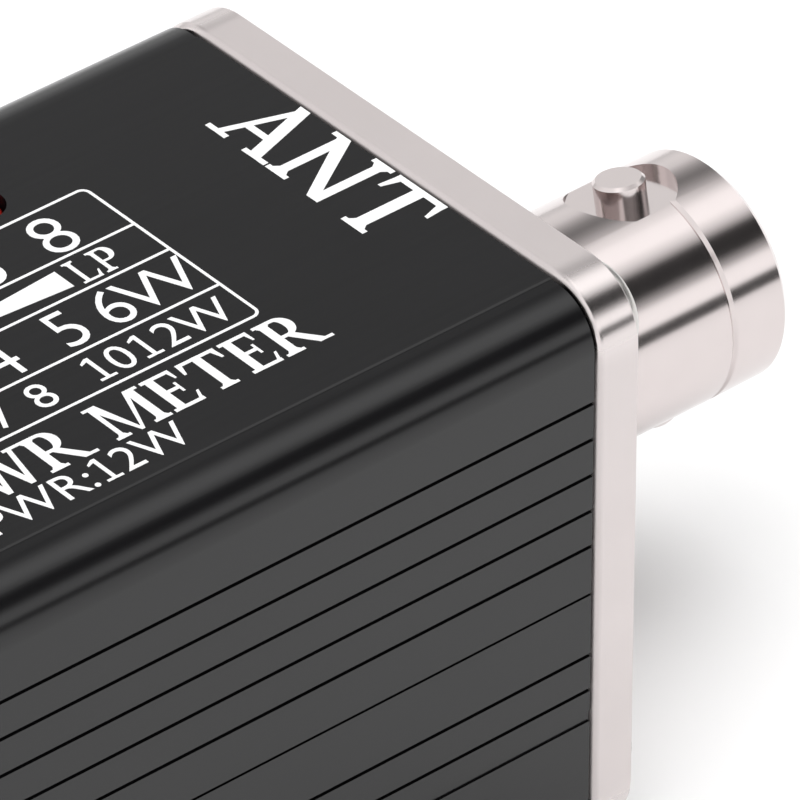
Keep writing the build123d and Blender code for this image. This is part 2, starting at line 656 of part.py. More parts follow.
os.makedirs("parts", exist_ok=True)
save("upper_shell", upper_shell())
save("lower_shell", lower_shell())
save("ant_end_plate", end_plate())
save("tx_end_plate", tx_plate())
save("ant_plate_screws", *plate_screws())
save("tx_plate_screws", *[other_end(screw) for screw in plate_screws()])
JACK_PIECES = {"body": jack_body, "insulator": jack_insulator, "contact": jack_contact,
               "washer": jack_washer, "nut": jack_nut}
for name, make in JACK_PIECES.items():
    save(f"ant_jack_{name}", make())
    save(f"tx_jack_{name}", other_end(make()))
save("main_board", board(MAIN_BOTTOM))
save("display_board", board(DISPLAY_BOTTOM))
save("header_strip", header_strip())
save("header_pins", *header_pins())
for node, members in LED_COLOURS.items():
    save(node, *[led(index) for index in members])
save("led_leads", *led_leads())
save("range_switch_housing", at_range(switch_housing()))
save("range_switch_lever", at_range(switch_lever(PLATE_WIDTH / 2 - LEVER_TIP_INSET - RANGE_FRONT_Y)))
save("power_switch_housing", at_power(switch_housing()))
save("power_switch_lever", at_power(switch_lever(POWER_FRONT_X + PLATE_OUTER_X + POWER_LEVER_REACH)))
save("charge_socket_shell", socket_shell())
save("charge_socket_tongue", socket_tongue())
save("battery_foam_pad", foam_pad())
save("battery_cell", battery_cell())
save("battery_leads", *battery_leads())
for side, sign in (("forward", 1), ("reflected", -1)):
    save(f"{side}_coupler_core", coupler_core(sign * CORE_X))
    save(f"{side}_coupler_winding", *coupler_winding(sign * CORE_X))
    save(f"{side}_trimmer_body", trimmer_body(sign * TRIMMER_X))
    save(f"{side}_trimmer_rotor", trimmer_rotor(sign * TRIMMER_X))
save("coupler_leads", *coupler_leads())
save("through_line", through_line())
save("line_sleeve", line_sleeve())
save("switch_terminals", *switch_terminals())
save("detector_diodes", *chip_group(DIODE_PLACES, DIODE_SIZE))
save("load_resistors", *chip_group(RESISTOR_PLACES, RESISTOR_SIZE))
save("filter_capacitors", *chip_group(CAPACITOR_PLACES, CAPACITOR_SIZE))
save("charger_chip", *chip_group([(BOARD_HALF_LENGTH - CHARGER_FROM_END, CHARGER_Y)], CHARGER_SIZE))
save("driver_chips", *driver_chips())
save("driver_legs", *driver_legs())
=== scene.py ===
import json
import math

import bmesh
import bpy
from bpy.props import FloatProperty, FloatVectorProperty, PointerProperty
from mathutils import Matrix, Vector


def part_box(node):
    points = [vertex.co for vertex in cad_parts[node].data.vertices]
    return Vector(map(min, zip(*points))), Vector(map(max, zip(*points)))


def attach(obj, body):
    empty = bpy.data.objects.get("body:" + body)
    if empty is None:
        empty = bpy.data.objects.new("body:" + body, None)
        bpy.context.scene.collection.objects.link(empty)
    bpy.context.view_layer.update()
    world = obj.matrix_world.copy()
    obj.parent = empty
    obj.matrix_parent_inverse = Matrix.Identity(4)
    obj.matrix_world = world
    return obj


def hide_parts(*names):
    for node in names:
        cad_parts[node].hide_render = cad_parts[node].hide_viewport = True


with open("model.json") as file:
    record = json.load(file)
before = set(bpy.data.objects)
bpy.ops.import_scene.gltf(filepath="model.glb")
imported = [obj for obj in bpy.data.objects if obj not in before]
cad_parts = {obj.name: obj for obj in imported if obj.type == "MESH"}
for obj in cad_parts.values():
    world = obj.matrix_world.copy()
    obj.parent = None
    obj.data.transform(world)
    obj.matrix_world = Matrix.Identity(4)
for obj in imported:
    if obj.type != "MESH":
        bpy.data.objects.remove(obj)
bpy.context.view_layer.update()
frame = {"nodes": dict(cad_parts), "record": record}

bl_info = {
    "name": "SWR meter maker",
    "version": (1, 0, 0),
    "blender": (4, 5, 0),
    "location": "3D View > Sidebar > SWR Meter",
    "description": "Builds an in-line SWR and power meter for amateur radio, with its finishes and studio",
    "category": "Object",
}

MM = 0.001
NODES = frame["nodes"]
BODY_OF = {node: body for body, nodes in frame["record"]["behaviour"]["bodies"].items() for node in nodes}
PLATE_LOW, PLATE_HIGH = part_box("ant_end_plate")
SHELL_LOW, SHELL_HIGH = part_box("upper_shell")
FACE_X = PLATE_HIGH.x                 # outer face of the antenna end plate
TOP_Z = SHELL_HIGH.z                  # raised land on top of the box
AXIS_Z = (PLATE_LOW.z + PLATE_HIGH.z) / 2
BURNISH_START = 3.0 * MM              # where the end plate's corner polish begins, in from its side
BURNISH_FULL = 2.0 * MM               # where it is complete

MERGE_DISTANCE = 0.0005 * MM
FLAT_ANGLE = math.radians(0.5)        # faces closer than this are joined
SHARP_ANGLE = math.radians(25)        # edges sharper than this are rounded, or kept crisp
END_BAND = 0.05 * MM                  # how near its end a shell's points count as the end
LEVEL_WEIGHT = 70

CAMERA_AIM = Vector((FACE_X - 0.25 * MM, 0.475 * MM, AXIS_Z + 0.275 * MM))
CAMERA_AZIMUTH = math.radians(-40.08)
CAMERA_ELEVATION = math.radians(36.33)

# Brightness round the X axis, in degrees from straight up towards the front.
SOFT_BOXES = ((-95, 0.40), (-75, 0.60), (-62, 0.55), (-54, 0.34), (-46, 0.20), (-38, 0.13), (-30, 0.22),
              (-22, 0.38), (-14, 0.65), (-6, 0.86), (9, 0.9), (20, 0.55), (29, 0.02), (47, 0.02), (56, 0.33),
              (62, 0.80), (77, 0.85), (80, 0.03), (91, 0.03), (96, 0.4))
REAR_GLOW = (0.7, 0.7, 0.7)           # behind the transmitter end
END_GLOW = (0.22, 0.22, 0.22)         # straight past either end
WORLD_STRENGTH = 1.6
FILL_SIZE = 0.9
FILL_ENERGY = 4.4
FILL_PLACE = (0.1, 0.05, 0.8)

# The legend, in millimetres: x from the antenna plate's face, y from the case's middle.
TABLE_LEFT, TABLE_RIGHT = -42.2, -11.7
TABLE_LINES = (5.24, 2.24, 0.14, -2.79, -5.18)
TABLE_CORNER = 0.35
COLUMN = 3.25
RATIO_HEIGHT, WATT_HEIGHT, HIGH_HEIGHT, RATING_HEIGHT = 2.35, 2.2, 1.5, 1.45
RATIO_Y, DECIMAL_Y, WATT_Y, HIGH_Y, RATING_Y = 3.62, 3.375, -1.35, -4.0, -8.95
DECIMAL_HEIGHT = 1.75
TEXT_DEPTH = 0.01                     # extrusion of a text curve before it is scaled to the ink's height
BOLD_FROM = 1.6                       # type taller than this is drawn lighter


# ---------------------------------------------------------------- settings
class CaseSettings(bpy.types.PropertyGroup):
    black: FloatVectorProperty(name="Anodised black", description="Colour of the split case", subtype="COLOR",
                               size=3, min=0, max=1, default=(0.0052, 0.0050, 0.0056))
    sheen: FloatProperty(name="Case roughness", description="Roughness of the anodised case", subtype="FACTOR",
                         min=0, max=1, default=0.22)
    gap: FloatProperty(name="End gap", description="Dark line between the case and each end plate",
                       unit="LENGTH", min=0, max=0.0005, default=0.00011)
    plate: FloatVectorProperty(name="End plate silver", description="Colour of the end plates", subtype="COLOR",
                               size=3, min=0, max=1, default=(0.74, 0.68, 0.672))
    plate_edge: FloatProperty(name="Plate edge round", description="Rounding of the end plates' edges",
                              unit="LENGTH", min=0, max=0.0005, default=0.00008)


class JackSettings(bpy.types.PropertyGroup):
    nickel: FloatVectorProperty(name="Nickel", description="Colour of the jack's plating", subtype="COLOR",
                                size=3, min=0, max=1, default=(0.69, 0.625, 0.617))
    sheen: FloatProperty(name="Nickel roughness", description="Roughness of the jack's plating",
                         subtype="FACTOR", min=0, max=1, default=0.14)
    edge: FloatProperty(name="Jack edge round", description="Rounding of the jack's turned edges", unit="LENGTH",
                        min=0, max=0.0005, default=0.00008)


class LegendSettings(bpy.types.PropertyGroup):
    ink: FloatVectorProperty(name="Ink", description="Colour of the printed legend", subtype="COLOR",
                             size=3, min=0, max=1, default=(0.86, 0.86, 0.86))
    lift: FloatProperty(name="Ink height", description="Height of the ink above the case", unit="LENGTH",
                        min=0.000005, max=0.0001, default=0.000012)
    line: FloatProperty(name="Line width", description="Width of the table's lines", unit="LENGTH",
                        min=0.00005, max=0.001, default=0.00013)


class StageSettings(bpy.types.PropertyGroup):
    floor: FloatVectorProperty(name="Floor", description="Colour of the floor", subtype="COLOR", size=3, min=0,
                               max=1, default=(0.92, 0.92, 0.92))
    light: FloatProperty(name="Light", description="Strength of the studio light", min=0, max=10, default=1.0)
    lens: FloatProperty(name="Lens", description="Focal length in millimetres", min=10, max=1000, default=461.5)
    distance: FloatProperty(name="Camera distance", description="Camera to the point that it looks at",
                            unit="LENGTH", min=0.05, max=5, default=0.3944)


# ---------------------------------------------------------------- materials
class Wire:
    """A value on its way through a finish: arithmetic on it adds Math nodes."""

    def __init__(self, finish, socket):
        self.finish = finish
        self.socket = socket

    def math(self, operation, first, second=None):
        inputs = {0: first} if second is None else {0: first, 1: second}
        return self.finish.node("ShaderNodeMath", inputs, settings={"operation": operation})

    def __add__(self, other):
        return self.math("ADD", self, other)

    __radd__ = __add__

    def __mul__(self, other):
        return self.math("MULTIPLY", self, other)

    __rmul__ = __mul__

    def __sub__(self, other):
        return self.math("SUBTRACT", self, other)

    def __rsub__(self, other):
        return self.math("SUBTRACT", other, self)

    def __truediv__(self, other):
        return self.math("DIVIDE", self, other)

    def size(self):
        """The value without its sign."""
        return self.math("ABSOLUTE", self)

    def part(self, name):
        """One axis of a vector."""
        return self.finish.node("ShaderNodeSeparateXYZ", {"Vector": self}, output=name)


class Finish:
    """A node material, or the world, made from one node method."""

    def __init__(self, owner):
        owner.use_nodes = True
        self.owner = owner
        self.tree = owner.node_tree
        self.tree.nodes.clear()

    def node(self, kind, inputs=None, settings=None, stops=None, output=0):
        made = self.tree.nodes.new(kind)
        for name, value in (settings or {}).items():
            setattr(made, name, value)
        if stops:
            ramp = made.color_ramp
            while len(ramp.elements) < len(stops):
                ramp.elements.new(0.5)
            for element, (place, colour) in zip(ramp.elements, stops):
                element.position = place
                element.color = (*colour, 1) if isinstance(colour, tuple) else (colour, colour, colour, 1)
        for name, value in (inputs or {}).items():
            self.feed(made.inputs[name], value)
        return Wire(self, made.outputs[output])

    def feed(self, socket, value):
        if isinstance(value, Wire):
            self.tree.links.new(value.socket, socket)
        elif isinstance(value, (tuple, list)) and len(value) == 3 and socket.type == "RGBA":
            socket.default_value = (*value, 1)
        else:
            socket.default_value = value

    def place(self, scale=(1, 1, 1), turn=(0, 0, 0), centre=(0, 0, 0)):
        """Object coordinates, stretched by scale after they are centred."""
        coordinates = self.node("ShaderNodeTexCoord", output="Object")
        return self.node("ShaderNodeMapping", {"Vector": coordinates, "Scale": scale, "Rotation": turn,
                                               "Location": tuple(-c * s for c, s in zip(centre, scale))})

    def noise(self, size, detail=2.0, vector=None, rough=0.5):
        """Soft noise from 0 to 1 with blobs of about the given size in metres."""
        return self.node("ShaderNodeTexNoise", {"Vector": vector or self.place(), "Scale": 1 / size,
                                                "Detail": detail, "Roughness": rough})

    def mix(self, factor, first, second):
        return self.node("ShaderNodeMix", {"Factor": factor, 6: first, 7: second},
                         settings={"data_type": "RGBA"}, output=2)

    def ramp(self, value, stops):
        return self.node("ShaderNodeValToRGB", {"Fac": value}, stops=stops)

    def bump(self, height, depth, strength=1.0):
        """A normal from a 0 to 1 height whose full swing is depth metres."""
        return self.node("ShaderNodeBump", {"Height": height, "Distance": depth, "Strength": strength})

    def surface(self, inputs):
        shader = self.node("ShaderNodeBsdfPrincipled", inputs, output="BSDF")
        self.node_out("ShaderNodeOutputMaterial", {"Surface": shader})
        return self.owner

    def node_out(self, kind, inputs):
        made = self.tree.nodes.new(kind)
        for name, value in inputs.items():
            self.feed(made.inputs[name], value)


def tint(colour, gain):
    return tuple(min(1.0, c * gain) for c in colour)


def anodised_black():
    """Bead-blasted black anodising with faint draw lines along the extrusion."""
    look = bpy.context.scene.swr_case
    f = Finish(bpy.data.materials.new("anodised_black"))
    grain = f.noise(0.00009, 3.0)
    cloud = f.noise(0.004, 2.0)
    draw = f.noise(0.00022, 3.0, f.place(scale=(0.012, 1, 1)))
    colour = f.mix(cloud, tint(look.black, 0.8), tint(look.black, 1.25))
    return f.surface({"Base Color": colour, "Roughness": look.sheen - 0.05 + grain * 0.03 + draw * 0.07,
                      "Normal": f.bump(grain * 0.25 + draw * 0.75, 0.000003)})


def satin_silver():
    """Blasted, clear-anodised aluminium, burnished smooth round the plate's long corners."""
    look = bpy.context.scene.swr_case
    f = Finish(bpy.data.materials.new("satin_silver"))
    across = f.place(centre=(0, 0, AXIS_Z))
    reach = (PLATE_HIGH.y - PLATE_LOW.y) / 2
    sides = [f.node("ShaderNodeMapRange", {"Value": across.part(axis).size(), "From Min": reach - BURNISH_START,
                                           "From Max": reach - BURNISH_FULL}) for axis in ("Y", "Z")]
    burnished = sides[0] * sides[1]
    grain = f.noise(0.00007, 3.0)
    cloud = f.noise(0.003, 2.0)
    colour = f.mix(cloud, tint(look.plate, 0.96), tint(look.plate, 1.03))
    return f.surface({"Base Color": colour, "Metallic": 0.66 + burnished * 0.34,
                      "Roughness": 0.46 + grain * 0.06 - burnished * 0.29,
                      "Normal": f.bump(grain, 0.0000012)})


def turned_nickel(name, colour, roughness, pitch=0.00006, depth=0.0000003):
    """Plated metal with the fine rings that a lathe leaves round the X axis."""
    f = Finish(bpy.data.materials.new(name))
    rings = f.noise(pitch, 2.0, f.place(scale=(1, 0.02, 0.02)))
    haze = f.noise(0.0012, 3.0)
    shade = f.mix(haze, tint(colour, 0.97), tint(colour, 1.02))
    return f.surface({"Base Color": shade, "Metallic": 1.0,
                      "Roughness": roughness - 0.02 + haze * 0.03 + rings * 0.02,
                      "Normal": f.bump(rings, depth)})


def nickel():
    look = bpy.context.scene.swr_jack
    return turned_nickel("turned_nickel", look.nickel, look.sheen)


def screw_steel():
    return turned_nickel("screw_steel", (0.60, 0.58, 0.56), 0.26, 0.00005, 0.000001)


def gold():
    return turned_nickel("gold_contact", (0.86, 0.62, 0.27), 0.2)


def tinned():
    return turned_nickel("tinned_metal", (0.72, 0.71, 0.69), 0.32)


def switch_metal():
    return turned_nickel("switch_metal", (0.66, 0.65, 0.63), 0.3)


def moulded(name, colour, roughness, blob=0.0006, grain_size=0.00012, depth=0.000003, spread=0.12, **more):
    """Moulded or cast matter: mottled colour, fine grain, uneven sheen."""
    f = Finish(bpy.data.materials.new(name))
    mottle = f.noise(blob, 3.0)
    grain = f.noise(grain_size, 3.0)
    shade = f.mix(mottle, tint(colour, 1 - spread), tint(colour, 1 + spread))
    inputs = {"Base Color": shade, "Roughness": roughness - 0.04 + grain * 0.08,
              "Normal": f.bump(grain, depth)}
    inputs.update(more)
    return f.surface(inputs)


def printed_ink():
    look = bpy.context.scene.swr_legend
    return moulded("printed_ink", look.ink, 0.5, 0.0005, 0.00005, 0.000002, 0.03)


def board_green():
    """Solder mask over copper runs, with bare glass between them."""
    f = Finish(bpy.data.materials.new("board_green"))
    runs = f.node("ShaderNodeTexWave", {"Vector": f.place(), "Scale": 260.0, "Distortion": 6.0, "Detail": 1.0,
                                        "Detail Scale": 1.5}, settings={"wave_type": "BANDS"}, output="Fac")
    copper = f.ramp(runs, [(0.46, 0.0), (0.54, 1.0)])
    shade = f.mix(copper, (0.012, 0.085, 0.035), (0.022, 0.15, 0.06))
    return f.surface({"Base Color": shade, "Roughness": 0.34 + f.noise(0.0003) * 0.1, "Coat Weight": 0.4,
                      "Normal": f.bump(copper, 0.00003)})


def lens(name, colour):
    """Tinted lamp epoxy."""
    return moulded(name, colour, 0.2, 0.0004, 0.0002, 0.000001, 0.1, **{
        "Transmission Weight": 0.45, "IOR": 1.52, "Coat Weight": 0.5})


def winding():
    """Enamelled wire with a mottled colour."""
    return moulded("enamelled_copper", (0.55, 0.16, 0.05), 0.25, 0.0004, 0.0001, 0.000001, 0.15, **{
        "Metallic": 0.85, "Coat Weight": 0.6})


FINISHES = {
    "black_anodised": anodised_black,
    "silver_plate": satin_silver,
    "nickel": nickel,
    "screw_steel": screw_steel,
    "gold_contact": gold,
    "tinned_metal": tinned,
    "switch_metal": switch_metal,
    "board_green": board_green,
    "copper_wire": winding,
    "printed_ink": printed_ink,
    "ptfe": lambda: moulded("white_fluoropolymer", (0.83, 0.82, 0.79), 0.38, 0.0012, spread=0.03,
                            **{"Subsurface Weight": 0.15, "Subsurface Scale": 0.0005}),
    "black_plastic": lambda: moulded("black_plastic", (0.014, 0.014, 0.015), 0.42, depth=0.000006),
    "led_green": lambda: lens("lamp_green", (0.05, 0.55, 0.10)),
    "led_yellow": lambda: lens("lamp_yellow", (0.80, 0.52, 0.04)),
    "led_red": lambda: lens("lamp_red", (0.70, 0.03, 0.02)),
    "foam": lambda: moulded("foam_pad", (0.05, 0.05, 0.055), 0.9, 0.0004, 0.00018, 0.00006, 0.3),
    "battery_wrap": lambda: moulded("battery_wrap", (0.42, 0.44, 0.47), 0.28, 0.003, 0.0006, 0.00002, 0.08,
                                    **{"Metallic": 0.5, "Coat Weight": 0.5}),
    "lead_insulation": lambda: moulded("lead_insulation", (0.30, 0.02, 0.02), 0.35, 0.0005),
    "ferrite": lambda: moulded("ferrite", (0.035, 0.036, 0.04), 0.55, 0.0004, 0.00008, 0.000008, 0.25),
    "trimmer_blue": lambda: moulded("trimmer_blue", (0.03, 0.10, 0.42), 0.4, 0.0008),
    "trimmer_white": lambda: moulded("trimmer_white", (0.70, 0.69, 0.66), 0.4, 0.0006),
    "capacitor_tan": lambda: moulded("capacitor_tan", (0.40, 0.26, 0.13), 0.5, 0.0003),
}
MADE = {}


def finish(slot):
    """The material of a slot, made once."""
    if slot not in MADE:
        MADE[slot] = FINISHES[slot]()
    return MADE[slot]


SLOT_OF = {row["node"]: row["material_slot"] for row in frame["record"]["subparts"]}


# ---------------------------------------------------------------- mesh helpers
def object_from(bm, name, body, slot, *nodes):
    """Close a bmesh into a piece that rides on a body."""
    mesh = bpy.data.meshes.new(name)
    bm.to_mesh(mesh)
    bm.free()
    piece = bpy.data.objects.new(name, mesh)
    bpy.context.scene.collection.objects.link(piece)
    mesh.materials.append(finish(slot))
    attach(piece, body)
    if nodes:
        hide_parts(*nodes)
    return piece


def merged_copy(node):
    """A node's shape as a closed mesh with flat faces joined."""
    bm = bmesh.new()
    bm.from_mesh(NODES[node].data)
    bmesh.ops.remove_doubles(bm, verts=bm.verts, dist=MERGE_DISTANCE)
    bmesh.ops.dissolve_limit(bm, angle_limit=FLAT_ANGLE, verts=bm.verts, edges=bm.edges)
    for face in bm.faces:
        face.smooth = True
    return bm


def levelled(piece, keep_sharp=False):
    """Normals that follow the large faces."""
    level = piece.modifiers.new("level_faces", "WEIGHTED_NORMAL")
    level.mode = "FACE_AREA"
    level.weight = LEVEL_WEIGHT
    level.keep_sharp = keep_sharp
    return piece


def drawn_back(node, name, gap):
    """A shell's shape with both ends drawn back from the end plates."""
    bm = merged_copy(node)
    end = SHELL_HIGH.x - END_BAND
    for vert in bm.verts:
        if abs(vert.co.x) > end:
            vert.co.x -= math.copysign(gap, vert.co.x)
    for edge in bm.edges:
        edge.smooth = edge.calc_face_angle(math.pi) < SHARP_ANGLE
    return levelled(object_from(bm, name, BODY_OF[node], SLOT_OF[node], node), keep_sharp=True)


def eased(node, name, radius):
    """A node's shape with its sharp edges rounded."""
    piece = object_from(merged_copy(node), name, BODY_OF[node], SLOT_OF[node], node)
    ease = piece.modifiers.new("eased_edges", "BEVEL")
    ease.width = radius
    ease.segments = 2
    ease.limit_method = "ANGLE"
    ease.angle_limit = SHARP_ANGLE
    ease.harden_normals = True
    ease.use_clamp_overlap = True
    return levelled(piece)


# ---------------------------------------------------------------- legend letters
def printed(bm, name):
    """Close a bmesh into ink on the upper shell, facing outwards."""
    bmesh.ops.recalc_face_normals(bm, faces=bm.faces)
    mesh = bpy.data.meshes.new(name)
    bm.to_mesh(mesh)
    bm.free()
    piece = bpy.data.objects.new(name, mesh)
    bpy.context.scene.collection.objects.link(piece)
    mesh.materials.append(finish("printed_ink"))
    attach(piece, BODY_OF["upper_shell"])
    return piece


class Printer:
    """Lays thin flat strokes of ink on the case's top, in a letter's own plane."""

    def __init__(self, lift):
        self.bm = bmesh.new()
        self.lift = lift
        self.count = 0
        self.matrix = Matrix.Identity(4)
        self.thick = 0.17
        self.thin = 0.09

    def set(self, x, y, height, turn=0, widen=1.0):
        """The letter's lower left corner, in millimetres from the plate's face, and its cap height."""
        turn = Matrix.Rotation(math.radians(turn), 4, "Z")
        size = Matrix.Diagonal((height * widen * MM, height * MM, 1, 1))
        self.matrix = Matrix.Translation((FACE_X + x * MM, y * MM, TOP_Z)) @ turn @ size

    def press(self, faces):
        """Give flat faces their thickness, each a little off the last so that none coincide."""
        self.count += 1
        top = self.lift * (1 + 0.02 * (self.count % 25))
        verts = list({v for face in faces for v in face.verts})
        bmesh.ops.transform(self.bm, matrix=self.matrix, verts=verts)
        bmesh.ops.translate(self.bm, vec=(0, 0, top), verts=verts)
        made = bmesh.ops.extrude_face_region(self.bm, geom=faces, use_keep_orig=True)["geom"]
        lower = [v for v in made if isinstance(v, bmesh.types.BMVert)]
        bmesh.ops.translate(self.bm, vec=(0, 0, -top - self.lift), verts=lower)

    def quad(self, *corners):
        """A four-cornered stroke."""
        self.press([self.bm.faces.new([self.bm.verts.new((*corner, 0)) for corner in corners])])

    def bar(self, u, v):
        """An upright rectangle from (low, high) pairs."""
        self.quad((u[0], v[0]), (u[1], v[0]), (u[1], v[1]), (u[0], v[1]))

    def slant(self, low, high, width, top_width=None):
        """A stem or diagonal cut level at both ends, between two (u, v) points."""
        half, top = width / 2, (top_width or width) / 2
        self.quad((low[0] - half, low[1]), (low[0] + half, low[1]), (high[0] + top, high[1]),
                  (high[0] - top, high[1]))

    def bowl(self, centre, outer, inner, start, sweep, steps=14):
        """Part of a ring between two ellipses, from a start angle through a sweep, in degrees."""
        rows = []
        for radii in (outer, inner):
            first = self.bm.verts.new((math.cos(math.radians(start)), math.sin(math.radians(start)), 0))
            bmesh.ops.spin(self.bm, geom=[first], cent=(0, 0, 0), axis=(0, 0, 1),
                           angle=math.radians(sweep), steps=steps, use_merge=sweep >= 360)
            verts = {first}
            front = [first]
            while front:
                vert = front.pop()
                for edge in vert.link_edges:
                    other = edge.other_vert(vert)
                    if other not in verts:
                        verts.add(other)
                        front.append(other)
            verts = list(verts)
            bmesh.ops.scale(self.bm, vec=(radii[0], radii[1], 1), verts=verts)
            bmesh.ops.translate(self.bm, vec=(centre[0], centre[1], 0), verts=verts)
            rows += list({edge for vert in verts for edge in vert.link_edges})
        faces = bmesh.ops.bridge_loops(self.bm, edges=rows)["faces"]
        self.press(faces)

    def stem(self, u, v=(0, 1), width=0.2, foot=0.1, head=0.1, thin=0.07):
        """An upright stem with slab serifs."""
        self.bar((u - width / 2, u + width / 2), v)
        if foot:
            self.quad((u - width / 2 - foot, v[0]), (u + width / 2 + foot, v[0]),
                      (u + width / 2, v[0] + 1.9 * thin), (u - width / 2, v[0] + 1.9 * thin))
            self.bar((u - width / 2 - foot, u + width / 2 + foot), (v[0], v[0] + thin))
        if head:
            self.quad((u - width / 2, v[1] - 1.9 * thin), (u + width / 2, v[1] - 1.9 * thin),
                      (u + width / 2 + head, v[1]), (u - width / 2 - head, v[1]))
            self.bar((u - width / 2 - head, u + width / 2 + head), (v[1] - thin, v[1]))

    def foot(self, u, width, v=0.0, thin=0.07):
        """A serif under or over a diagonal."""
        self.bar((u - width / 2, u + width / 2), (v, v + thin) if v < 0.5 else (v - thin, v))

    def ink(self, name):
        """The finished print."""
        return printed(self.bm, name)


def letter_a(p):
    p.slant((0.15, 0), (0.50, 1), p.thin, p.thin)
    p.slant((0.80, 0), (0.47, 1), p.thick, p.thick)
    p.bar((0.27, 0.72), (0.30, 0.39))
    p.foot(0.15, 0.33)
    p.foot(0.80, 0.38)


def letter_e(p):
    p.stem(0.2, foot=0.0, head=0.0, width=p.thick)
    p.bar((0.04, 0.66), (0, 0.08))
    p.bar((0.04, 0.64), (0.92, 1))
    p.bar((0.2, 0.52), (0.48, 0.56))
    p.quad((0.58, 0.08), (0.62, 0), (0.71, 0.27), (0.66, 0.27))
    p.quad((0.57, 0.92), (0.61, 0.74), (0.65, 0.74), (0.64, 1))
    p.bar((0.49, 0.54), (0.38, 0.66))


def letter_h(p):
    p.stem(0.2, width=p.thick)
    p.stem(0.72, width=p.thick)
    p.bar((0.2, 0.72), (0.48, 0.56))


def letter_l(p):
    p.stem(0.2, width=p.thick, foot=0.0)
    p.bar((0.04, 0.64), (0, 0.08))
    p.quad((0.55, 0.08), (0.62, 0), (0.70, 0.3), (0.65, 0.3))


def letter_m(p):
    p.stem(0.16, width=p.thin, foot=0.1, head=0.0)
    p.stem(0.98, width=p.thick, foot=0.09, head=0.0)
    p.slant((0.54, 0.0), (0.2, 1), 0.06, 0.19)
    p.slant((0.54, 0.0), (0.93, 1), 0.06, 0.1)
    p.bar((0.02, 0.28), (0.93, 1))
    p.bar((0.88, 1.15), (0.93, 1))


def letter_n(p):
    p.stem(0.2, width=0.13, foot=0.1, head=0.0)
    p.stem(0.86, width=0.13, foot=0.0, head=0.1)
    p.slant((0.83, 0.0), (0.17, 1), 0.17, 0.2)
    p.bar((0.02, 0.26), (0.93, 1))


def letter_o(p):
    p.bowl((0.48, 0.5), (0.42, 0.51), (0.23, 0.43), 0, 360, 32)


def letter_p(p):
    p.stem(0.2, width=p.thick)
    p.bar((0.2, 0.44), (0.92, 1))
    p.bar((0.2, 0.44), (0.42, 0.5))
    p.bowl((0.43, 0.71), (0.27, 0.29), (0.09, 0.21), -90, 180)


def letter_r(p):
    p.stem(0.2, width=p.thick)
    p.bar((0.2, 0.44), (0.92, 1))
    p.bar((0.2, 0.44), (0.45, 0.53))
    p.bowl((0.42, 0.725), (0.27, 0.275), (0.09, 0.195), -90, 180)
    p.slant((0.80, 0.0), (0.42, 0.5), 0.19, 0.17)
    p.bar((0.72, 0.99), (0, 0.07))


def letter_s(p):
    p.bowl((0.37, 0.735), (0.27, 0.275), (0.12, 0.2), 30, 240)
    p.bowl((0.37, 0.265), (0.28, 0.275), (0.11, 0.2), -150, 240)
    p.bar((0.56, 0.62), (0.7, 0.98))
    p.bar((0.09, 0.15), (0.02, 0.32))


def letter_t(p):
    p.stem(0.45, width=p.thick, head=0.0)
    p.bar((0.05, 0.85), (0.92, 1))
    p.quad((0.05, 0.92), (0.03, 0.7), (0.08, 0.7), (0.15, 0.92))
    p.quad((0.85, 0.92), (0.75, 0.92), (0.82, 0.7), (0.87, 0.7))


def letter_w(p):
    p.slant((0.36, 0), (0.15, 1), 0.1, p.thick)
    p.slant((0.36, 0), (0.60, 0.9), 0.1, 0.09)
    p.slant((0.83, 0), (0.60, 1), 0.1, p.thick)
    p.slant((0.83, 0), (1.06, 1), 0.1, 0.09)
    p.foot(0.15, 0.34, 1.0)
    p.foot(0.62, 0.3, 1.0)
    p.foot(1.07, 0.28, 1.0)


def letter_x(p):
    p.slant((0.80, 0), (0.17, 1), p.thick, p.thick)
    p.slant((0.14, 0), (0.78, 1), p.thin, p.thin)
    for u, width, v in ((0.17, 0.34, 1.0), (0.78, 0.3, 1.0), (0.14, 0.3, 0.0), (0.80, 0.34, 0.0)):
        p.foot(u, width, v)


def figure_one(p):
    """A one with a flag and a foot."""
    p.bar((0.27, 0.39), (0, 1))
    p.bar((0.08, 0.58), (0, 0.09))
    p.quad((0.08, 0.80), (0.27, 0.87), (0.27, 1), (0.08, 0.88))


LETTERS = {"A": (letter_a, 0.95), "E": (letter_e, 0.75), "H": (letter_h, 0.95), "L": (letter_l, 0.74),
           "M": (letter_m, 1.19), "N": (letter_n, 1.02), "O": (letter_o, 0.96), "P": (letter_p, 0.77),
           "R": (letter_r, 0.99), "S": (letter_s, 0.74), "T": (letter_t, 0.90), "W": (letter_w, 1.2),
           "X": (letter_x, 0.97), " ": (None, 0.38)}


def serif_word(printer, text, x, y, height, widen=1.0, places=None, turn=0):
    """Letters one after another from x, or at their own places along the line of print."""
    for index, letter in enumerate(text):
        draw, width = LETTERS[letter]
        at = places[index] if places else x
        if draw:
            corner = (x, at) if turn else (at, y)
            printer.set(*corner, height, turn, widen)
            draw(printer)
        if not places:
            x += width * height * widen


